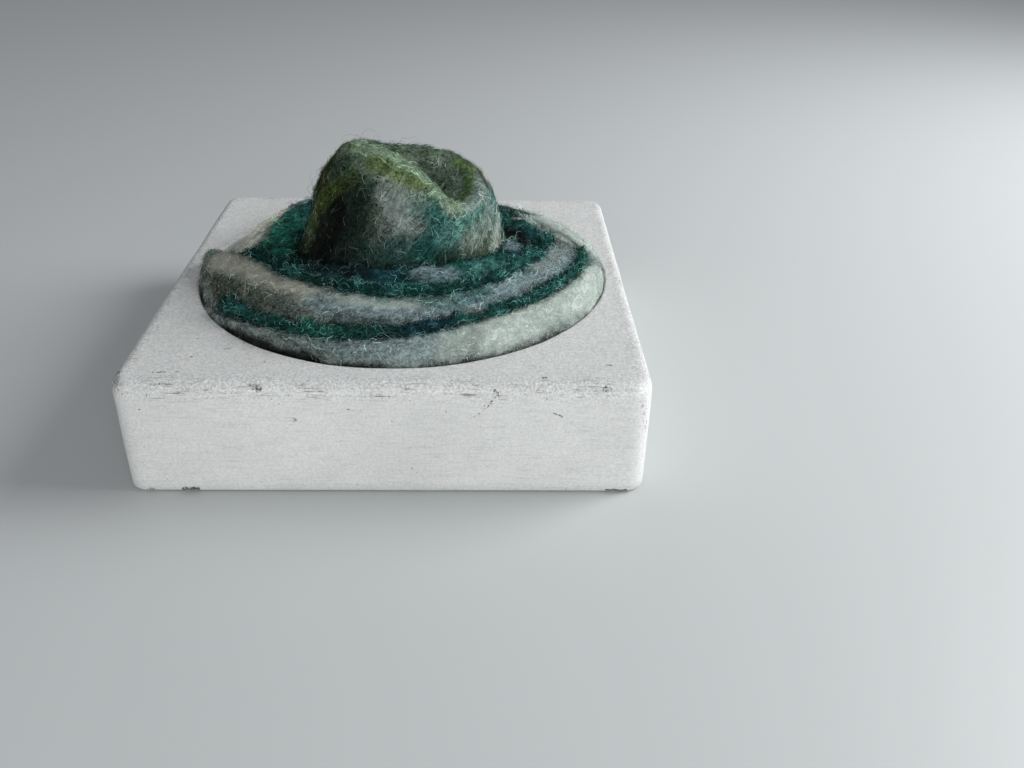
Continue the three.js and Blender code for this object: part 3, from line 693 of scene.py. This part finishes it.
def hair_tree():
    """Grows hairs on a mesh that has the attributes tone, lie and cover."""
    tree = bpy.data.node_groups.new("Loose wool", "GeometryNodeTree")
    sizes = ("Hairs per area", "Length", "Thickness", "Spread", "Bow", "Lift", "Curl", "Turns", "Wander")
    sockets = {"Geometry": "Geometry", **dict.fromkeys(sizes, "Float"), "Points": "Int", "Seed": "Int",
               "Finish": "Material"}
    for label, kind in sockets.items():
        tree.interface.new_socket(label, in_out="INPUT", socket_type="NodeSocket" + kind)
    tree.interface.new_socket("Geometry", in_out="OUTPUT", socket_type="NodeSocketGeometry")
    w = Wiring(tree)
    given = w.add("NodeGroupInput").outputs

    def read(name, kind):
        return w.add("GeometryNodeInputNamedAttribute", {0: name}, data_type=kind).outputs[0]

    def chance(kind, low, high, offset):
        slots = {"FLOAT": (2, 3, 1), "FLOAT_VECTOR": (0, 1, 0)}[kind]
        node = w.add("FunctionNodeRandomValue", {slots[0]: low, slots[1]: high}, data_type=kind)
        w.feed(node.inputs["Seed"], w.plus(given["Seed"], offset))
        return node.outputs[slots[2]]

    def keep(geometry, name, kind, value):
        node = w.add("GeometryNodeStoreNamedAttribute", {0: geometry, 2: name, 3: value},
                     data_type=kind, domain="POINT")
        return node.outputs[0]

    density = w.times(given["Hairs per area"], read("cover", "FLOAT"))
    roots = w.add("GeometryNodeDistributePointsOnFaces",
                  {"Mesh": given["Geometry"], "Density": density, "Seed": given["Seed"]})
    up = roots.outputs["Normal"]
    scatter = w.scaled(chance("FLOAT_VECTOR", (-1, -1, -1), (1, 1, 1), 1), given["Spread"])
    way = w.vector("ADD", read("lie", "FLOAT_VECTOR"), scatter)
    flat = w.vector("SUBTRACT", way, w.scaled(up, w.vector("DOT_PRODUCT", way, up)))
    position = w.add("GeometryNodeInputPosition").outputs[0]
    points = keep(roots.outputs["Points"], "root", "FLOAT_VECTOR", position)
    points = keep(points, "up", "FLOAT_VECTOR", up)
    points = keep(points, "way", "FLOAT_VECTOR", w.vector("NORMALIZE", flat))
    points = keep(points, "phase", "FLOAT", chance("FLOAT", 0.0, 1.0, 2))
    points = keep(points, "reach", "FLOAT", chance("FLOAT", 0.45, 1.25, 3))
    points = keep(points, "shade", "FLOAT", chance("FLOAT", 0.0, 1.0, 4))
    points = keep(points, "loose", "FLOAT", w.math("POWER", chance("FLOAT", 0.0, 1.0, 5), 3.0))
    line = w.add("GeometryNodeCurvePrimitiveLine", {0: (0, 0, 0), 1: (0, 0, MM)}).outputs[0]
    hair = w.add("GeometryNodeResampleCurve", {0: line, 2: given["Points"]}).outputs[0]
    placed = w.add("GeometryNodeInstanceOnPoints", {"Points": points, "Instance": hair}).outputs[0]
    real = w.add("GeometryNodeRealizeInstances", {0: placed}).outputs[0]

    t = w.add("GeometryNodeSplineParameter").outputs["Factor"]
    root = read("root", "FLOAT_VECTOR")
    up = read("up", "FLOAT_VECTOR")
    way = read("way", "FLOAT_VECTOR")
    length = w.times(given["Length"], read("reach", "FLOAT"))
    side = w.vector("CROSS_PRODUCT", up, way)
    angle = w.times(w.times_plus(t, given["Turns"], read("phase", "FLOAT")), math.tau)
    curl = w.times(given["Curl"], w.math("MINIMUM", w.times(t, 3.0), 1.0))
    wave = w.times(w.math("COSINE", angle), curl)
    heave = w.times(w.math("SINE", angle), curl)
    trail = w.vector("ADD", w.scaled(root, 900.0), w.combine(t, read("phase", "FLOAT"), 0.0))
    stray = w.vector("SUBTRACT", w.noise(trail, 1.3, 0.0)[1], (0.5, 0.5, 0.5))
    stray = w.scaled(stray, w.times(given["Wander"], t))
    path = w.vector("ADD", root, w.scaled(way, w.times(length, t)))
    path = w.vector("ADD", path, w.scaled(side, wave))
    path = w.vector("ADD", path, stray)
    near = w.add("GeometryNodeProximity", {"Geometry": given["Geometry"], "Sample Position": path},
                 target_element="FACES").outputs["Position"]
    bow = w.times(given["Bow"], w.math("SINE", w.times(t, math.pi)))
    lift = w.times(w.times(given["Lift"], w.times(read("loose", "FLOAT"), t)), 5.0)
    rise = w.plus(w.plus(bow, lift), w.math("ABSOLUTE", heave))
    laid = w.vector("ADD", near, w.scaled(up, rise))
    moved = w.add("GeometryNodeSetPosition", {"Geometry": real, "Position": laid}).outputs[0]
    taper = w.minus(1.0, w.times(w.times(t, t), 0.7))
    ring = w.add("GeometryNodeCurvePrimitiveCircle", {"Resolution": 3, "Radius": 1.0}).outputs[0]
    tubes = w.add("GeometryNodeCurveToMesh",
                  {0: moved, 1: ring, "Scale": w.times(given["Thickness"], taper),
                   "Fill Caps": True}).outputs[0]
    whole = w.add("GeometryNodeRealizeInstances", {0: tubes}).outputs[0]
    finished = w.add("GeometryNodeSetMaterial", {"Geometry": whole, "Material": given["Finish"]}).outputs[0]
    w.feed(w.add("NodeGroupOutput").inputs[0], finished)
    return tree


def shared(name, make):
    """A material or node tree that several pieces use, made on its first use."""
    found = bpy.data.materials.get(name) or bpy.data.node_groups.get(name)
    return found or make()


def grow_hairs(name, base, kind, share, seed):
    """The loose hairs of a felted piece of one kind, as a piece of their own."""
    hairs = HAIRS[kind]
    mesh = base.data.copy()
    mesh.name = name
    piece = linked(name, mesh)
    modifier = piece.modifiers.new("Hairs", "NODES")
    modifier.node_group = shared("Loose wool", hair_tree)
    values = {
        "Hairs per area": hairs.count * share * PER_SQUARE_CENTIMETRE,
        "Length": hairs.length * MM,
        "Thickness": hairs.thick * MM,
        "Spread": hairs.spread,
        "Bow": hairs.bow * MM,
        "Lift": hairs.lift * MM,
        "Curl": hairs.curl * MM,
        "Turns": hairs.turns,
        "Wander": hairs.wander * MM,
        "Points": hairs.points,
        "Seed": seed,
        "Finish": shared("Loose wool hair", hair_finish),
    }
    for item in modifier.node_group.interface.items_tree:
        if item.in_out == "INPUT" and item.name in values:
            modifier[item.identifier] = values[item.name]
    grown = settled(piece)
    grown.name = name
    piece.data = grown
    shade_smooth(grown)
    return piece


def overhang(points):
    """How far the brim swells over the recess's rim at both of the hat's sides, in millimetres."""
    out = outward(points)
    height = points[:, 2]
    share = smoothstep(0.4, 0.85, np.abs(out[:, 0])) * smoothstep(21.0, 23.8, height)
    share = share * (1.0 - smoothstep(26.5, 29.5, height))
    return np.column_stack([out * share[:, None] * SWELL, np.zeros(len(points))])


def make_felt(name):
    """One felted piece and its loose hairs."""
    felt = FELTS[name]
    settings = bpy.context.scene.felt_hat_felt
    tones = bpy.context.scene.felt_hat_tones
    index = list(FELTS).index(name)
    shift = 31.0 * (1 + index)
    base = felt_base("felt_" + name, felt.node, settings.mesh_step)
    points, normals = places(base.data)
    stretched = points.copy()
    stretched[:, 2 if felt.lie == "round" else 0] *= 1.4
    lumps = clouds(stretched, LUMP_WIDTH, shift)
    tufts = clouds(stretched, TUFT_WIDTH, shift)
    seams = seam_share(points, felt.node)
    relief = (lumps * settings.lump_height + tufts * settings.tuft_height) / MM
    points = points + normals * (felt.uneven * relief + FELT_SWELL + SEAM_SWELL * seams)[:, None]
    if name == "outer_roll":
        points = points + overhang(points)
    points[:, 2] = np.maximum(points[:, 2], HAT_FOOT - FOOT_SWELL)
    put_places(base.data, points)
    shade_smooth(base.data)
    colours = felt_tones(felt, points, tufts, tones, shift, settings.seed)
    clumps = 0.4 + 1.2 * smoothstep(-0.3, 0.4, tufts) + 1.2 * seams
    put_attribute(base.data, "tone", "FLOAT_COLOR", np.column_stack([colours, np.ones(len(points))]))
    put_attribute(base.data, "lie", "FLOAT_VECTOR", hair_lie(felt.lie, points))
    put_attribute(base.data, "cover", "FLOAT", clumps * hair_cover(felt.lie, points, normals))
    grown = [grow_hairs(name + ending, base, kind, settings.hair_share, settings.seed + index)
             for ending, kind in (("_hairs", felt.hairs), ("_strays", "stray"))]
    finish = shared("Felt " + felt.lie, lambda: wool_finish("Felt " + felt.lie, felt.lie, settings.relief))
    base.data.materials.append(finish)
    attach(base, BODY)
    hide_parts(felt.node)
    for hairs in grown:
        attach(hairs, BODY)


def block_outline(half, corner):
    """Points round a square with rounded corners: the corner's middle or side, and the way out."""
    inner = half - corner
    bases, ways = [], []
    for quarter in range(4):
        turn = quarter * math.pi / 2
        spin = Matrix.Rotation(turn, 2)
        for i in range(SIDE_STEPS):
            y = -inner + 2 * inner * i / SIDE_STEPS
            bases.append(spin @ Vector((inner, y)))
            ways.append(spin @ Vector((1.0, 0.0)))
        for i in range(CORNER_STEPS):
            lean = (math.pi / 2) * i / CORNER_STEPS
            bases.append(spin @ Vector((inner, inner)))
            ways.append(spin @ Vector((math.cos(lean), math.sin(lean))))
    return np.array(bases), np.array(ways)


def block_rings(block, half, height):
    """The block as rings of points from the middle of its underside round to the recess's floor."""
    bases, ways = block_outline(half, block.corner)
    axis = HAT_AXIS * MM

    def square(inset, z):
        flat = bases + ways * (block.corner - inset)
        return np.column_stack([flat, np.full(len(flat), z)])

    def circle(radius, z):
        out = bases + ways * block.corner - axis
        out = out / np.linalg.norm(out, axis=1)[:, None]
        return np.column_stack([axis + out * radius, np.full(len(out), z)])

    rings = [square(block.foot_edge, 0.0), square(0.0, block.foot_edge)]
    for i in range(1, UPRIGHT_STEPS + 1):
        share = i / UPRIGHT_STEPS
        rings.append(square(0.0, block.foot_edge + (height - block.top_edge - block.foot_edge) * share))
    for i in range(1, EDGE_STEPS + 1):
        turn = (math.pi / 2) * i / EDGE_STEPS
        rings.append(square(block.top_edge * (1 - math.cos(turn)),
                            height - block.top_edge * (1 - math.sin(turn))))
    outer = rings[-1]
    lip = circle(block.recess_radius + block.recess_lip, height)
    for i in range(1, TOP_STEPS):
        rings.append(outer + (lip - outer) * i / TOP_STEPS)
    for i in range(LIP_STEPS + 1):
        turn = (math.pi / 2) * i / LIP_STEPS
        rings.append(circle(block.recess_radius + block.recess_lip * (1 - math.sin(turn)),
                            height - block.recess_lip * (1 - math.cos(turn))))
    floor = height - block.recess_depth
    for i in range(1, WALL_STEPS + 1):
        share = i / WALL_STEPS
        top = height - block.recess_lip
        rings.append(circle(block.recess_radius, top + (floor + block.recess_cove - top) * share))
    rings.append(circle(block.recess_radius - block.recess_cove, floor))
    return rings, Vector((0, 0, 0)), Vector((*axis, floor))


def block_mesh(block, half, height):
    rings, under, floor = block_rings(block, half, height)
    count = len(rings[0])
    points = np.concatenate(rings + [np.array([under, floor])])
    faces = []
    for i in range(len(rings) - 1):
        for j in range(count):
            k = (j + 1) % count
            faces.append((i * count + j, i * count + k, (i + 1) * count + k, (i + 1) * count + j))
    last = (len(rings) - 1) * count
    for j in range(count):
        k = (j + 1) % count
        faces.append((k, j, len(points) - 2))
        faces.append((last + j, last + k, len(points) - 1))
    mesh = bpy.data.meshes.new("painted_block")
    mesh.from_pydata(points.tolist(), [], faces)
    mesh.update()
    return mesh


def marked(w, place, mark):
    """How strongly a mark shows at a place: its strength on its line, going to 0 at its reach."""
    start, end = (Vector(point) for point in mark.points)
    along = end - start
    from_start = w.vector("SUBTRACT", place, tuple(start))
    share = w.vector("DOT_PRODUCT", from_start, tuple(along / along.length_squared))
    nearest = w.scaled(tuple(along), w.math("ADD", share, 0.0, clamp=True))
    gap = w.vector("LENGTH", w.vector("SUBTRACT", from_start, nearest))
    return w.range(gap, 0.4 * mark.reach, 1.2 * mark.reach, mark.strength, 0.0)


def worn_through(w, mm, edge):
    """Where the paint is gone: ragged spots at the charted marks, and small specks."""
    wobble = w.vector("SUBTRACT", w.noise(mm, 0.9, 2.0)[1], (0.5, 0.5, 0.5))
    wandering = w.vector("ADD", mm, w.scaled(wobble, 0.8))
    marks = 0.0
    for mark in MARKS:
        marks = w.math("MAXIMUM", marked(w, wandering, mark), marks)
    bare = w.range(w.times_plus(marks, 0.42, w.noise(mm, 2.6, 4.0, 0.75, 0.5)[0]), 0.74, 0.86)
    specks = w.range(w.times_plus(edge, 0.035, w.noise(mm, 1.1, 2.0, 0.6)[0]), 0.745, 0.765)
    return w.math("MAXIMUM", bare, w.times(specks, 0.8))


def paint_finish(block):
    """Matt white paint brushed on wood: brush lines, grain, marks, a rough, flaking edge, and painted shade
    on the top.
    """
    material, w, shader = new_finish("Brushed white paint")
    paint, thin_and_top_shade, flake, score, wood = ((*colour, 1.0) for colour in (
        block.paint, block.thin_paint_and_top_shade, block.flake, block.score, block.bare_wood))
    mm = w.millimetres()
    brushed = w.noise(w.vector("MULTIPLY", mm, (0.12, 1.6, 2.2)), 1.0, 6.0, 0.65, 0.4)[0]
    scored = w.noise(w.vector("MULTIPLY", mm, (0.22, 3.2, 3.2)), 1.0, 4.0, 0.6, 0.6)[0]
    cloudy = w.noise(mm, 0.07, 3.0, 0.5)[0]
    patchy = w.range(w.noise(mm, 0.16, 2.0, 0.5)[0], 0.4, 0.62)
    grain = w.noise(mm, 2.2, 3.0, 0.7, 0.3)[0]
    crumbs = w.noise(mm, 1.5, 4.0, 0.7, 1.0)[0]
    edge = w.attribute("edge")
    # Painted shade: the upward faces are mixed most of the way towards the darker thin paint
    top = w.range(w.separate(w.add("ShaderNodeNewGeometry").outputs["Normal"])[2], 0.2, 0.9)
    base = w.mix(w.times(top, 0.9), paint, thin_and_top_shade)
    base = w.mix(w.range(cloudy, 0.35, 0.75, 0.0, 0.3), base, thin_and_top_shade)
    base = w.mix(w.times(w.range(brushed, 0.50, 0.68), w.times_plus(edge, 0.3, 0.45)), base, thin_and_top_shade)
    unevenness = w.plus(w.times_plus(edge, 0.8, 0.6), w.times(top, 0.6))
    base = w.scaled(base, w.times_plus(w.minus(grain, 0.5), unevenness, 1.0))
    worn_edge = w.times(edge, patchy)
    scores = w.times(w.range(scored, 0.57, 0.65), w.times_plus(worn_edge, 0.8, w.times(patchy, 0.16)))
    base = w.mix(scores, base, score)
    flakes = w.range(w.times_plus(worn_edge, 0.12, crumbs), 0.70, 0.74)
    base = w.mix(w.times(flakes, 0.7), base, flake)
    bare = worn_through(w, mm, edge)
    base = w.mix(w.times(bare, 0.9), base, wood)
    relief = w.times_plus(brushed, 0.5, w.times(grain, w.times_plus(edge, 0.8, 0.5)))
    relief = w.minus(w.minus(relief, w.times(bare, 0.8)), w.times(scores, 0.8))
    relief = w.plus(relief, w.times(flakes, 0.5))
    rough = w.range(brushed, 0.3, 0.8, 0.5, 0.72, smooth=False)
    w.fill(shader, {"Base Color": base, "Normal": w.bump(relief, 0.14 * MM, 0.8), "Roughness": rough,
                    "Specular IOR Level": 0.35})
    return material


def edge_share(points, half, top):
    """1 at the block's outer edges, half of that at the recess's rim, and 0 away from both."""
    beside = half - np.abs(points[:, :2]).max(axis=1)
    edge = 1.0 - smoothstep(1.5, 4.5, np.maximum(beside, top - points[:, 2]))
    radius = np.linalg.norm(points[:, :2] - HAT_AXIS, axis=1)
    return np.maximum(edge, 0.5 * (1.0 - smoothstep(0.3, 1.5, np.abs(radius - RIM_RADIUS))))


class FELTHAT_OT_block(Operator):
    """Makes the square painted block with its round recess"""
    bl_idname = "felthat.block"
    bl_label = "Display block"

    def execute(self, context):
        block = context.scene.felt_hat_block
        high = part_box("display_block")[1]
        mesh = block_mesh(block, high.x, high.z)
        piece = linked("painted_block", mesh)
        points, normals = places(mesh)
        wander = clouds(points, 14.0, 3.0) + 0.4 * clouds(points, 4.0, 9.0)
        shown = smoothstep(0.0, 1.5, points[:, 2])
        points = points + normals * (wander * shown * block.unevenness / MM)[:, None]
        edge = edge_share(points, high.x / MM, high.z / MM)
        points[:, 2] = np.maximum(points[:, 2], 0.0)
        put_places(mesh, points)
        put_attribute(mesh, "edge", "FLOAT", edge)
        shade_smooth(mesh)
        mesh.materials.append(paint_finish(block))
        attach(piece, BODY)
        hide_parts("display_block")
        return {"FINISHED"}


class FELTHAT_OT_crown(Operator):
    """Makes the pinched crown and its loose hairs"""
    bl_idname = "felthat.crown"
    bl_label = "Crown"

    def execute(self, context):
        make_felt("crown")
        return {"FINISHED"}


class FELTHAT_OT_rolls(Operator):
    """Makes the three rolls of the brim and their loose hairs"""
    bl_idname = "felthat.rolls"
    bl_label = "Brim rolls"

    def execute(self, context):
        for name in ("inner_roll", "middle_roll", "outer_roll"):
            make_felt(name)
        return {"FINISHED"}


class FELTHAT_OT_strands(Operator):
    """Makes the two strands of wool that lie over the brim's seams"""
    bl_idname = "felthat.strands"
    bl_label = "Strands"

    def execute(self, context):
        for name in ("outer_strand", "inner_strand"):
            make_felt(name)
        return {"FINISHED"}


def make_camera():
    azimuth, elevation, roll = (math.radians(angle) for angle in CAMERA_TURN)
    data = bpy.data.cameras.new("Camera")
    data.sensor_width = SENSOR_WIDTH
    data.lens = CAMERA_FOCUS / PICTURE_WIDTH * SENSOR_WIDTH
    data.clip_start = 0.01
    camera = bpy.data.objects.new("Camera", data)
    bpy.context.scene.collection.objects.link(camera)
    turn = (Matrix.Rotation(azimuth, 4, "Z") @ Matrix.Rotation(math.pi / 2 - elevation, 4, "X")
            @ Matrix.Rotation(roll, 4, "Z"))
    camera.matrix_world = Matrix.Translation(CAMERA_PLACE) @ turn
    bpy.context.scene.camera = camera


def add_light(name, place, aim, size, power, colour):
    data = bpy.data.lights.new(name, "AREA")
    data.shape = "DISK"
    data.size = size
    data.energy = power
    data.color = colour
    light = bpy.data.objects.new(name, data)
    bpy.context.scene.collection.objects.link(light)
    light.location = place
    light.rotation_euler = (Vector(aim) - Vector(place)).to_track_quat("-Z", "Y").to_euler()


class FELTHAT_OT_stage(Operator):
    """Makes the floor, the light and the camera"""
    bl_idname = "felthat.stage"
    bl_label = "Stage"

    def execute(self, context):
        stage = context.scene.felt_hat_stage
        half = stage.floor_size / 2
        mesh = bpy.data.meshes.new("floor")
        mesh.from_pydata([(-half, -half, 0), (half, -half, 0), (half, half, 0), (-half, half, 0)], [],
                         [(0, 1, 2, 3)])
        floor = linked("floor", mesh)
        material, w, shader = new_finish("Pale floor")
        w.fill(shader, {"Base Color": (*stage.floor_colour, 1.0), "Roughness": 0.45})
        mesh.materials.append(material)
        world = bpy.data.worlds.new("Soft sky")
        context.scene.world = world
        world.use_nodes = True
        sky = {"Color": (0.93, 0.96, 1.0, 1.0), "Strength": stage.sky}
        Wiring(world.node_tree).fill(world.node_tree.nodes["Background"], sky)
        add_light("Window", (0.48, 0.06, 0.31), (0, 0, 0.02), 0.4, stage.window, (0.97, 0.99, 1.0))
        add_light("Room", (0.1, -0.7, 0.19), (0, 0, 0.02), 0.6, stage.window * 0.75, (0.97, 0.995, 1.0))
        context.scene.view_settings.view_transform = "Standard"
        make_camera()
        return {"FINISHED"}


class FELTHAT_PT_panel(Panel):
    """Lists the pieces and their settings"""
    bl_idname = "FELTHAT_PT_panel"
    bl_label = "Felt hat"
    bl_space_type = "VIEW_3D"
    bl_region_type = "UI"
    bl_category = "Felt hat"

    def draw(self, context):
        layout = self.layout
        scene = context.scene
        for operator in OPERATORS:
            layout.operator(operator.bl_idname)
        for settings in (scene.felt_hat_felt, scene.felt_hat_block, scene.felt_hat_stage,
                         scene.felt_hat_tones):
            box = layout.box()
            for name in settings.__annotations__:
                box.prop(settings, name)


OPERATORS = (FELTHAT_OT_stage, FELTHAT_OT_block, FELTHAT_OT_crown, FELTHAT_OT_rolls, FELTHAT_OT_strands)
SETTINGS = {"felt_hat_tones": WoolTones, "felt_hat_felt": FeltSettings,
            "felt_hat_block": BlockSettings, "felt_hat_stage": StageSettings}


def register():
    for group in (*SETTINGS.values(), *OPERATORS, FELTHAT_PT_panel):
        bpy.utils.register_class(group)
    for name, group in SETTINGS.items():
        setattr(bpy.types.Scene, name, PointerProperty(type=group))


def unregister():
    for name in SETTINGS:
        delattr(bpy.types.Scene, name)
    for group in reversed((*SETTINGS.values(), *OPERATORS, FELTHAT_PT_panel)):
        bpy.utils.unregister_class(group)


def main():
    register()
    bpy.ops.felthat.stage()
    bpy.ops.felthat.block()
    bpy.ops.felthat.crown()
    bpy.ops.felthat.rolls()
    bpy.ops.felthat.strands()


if __name__ == "__main__":
    main()
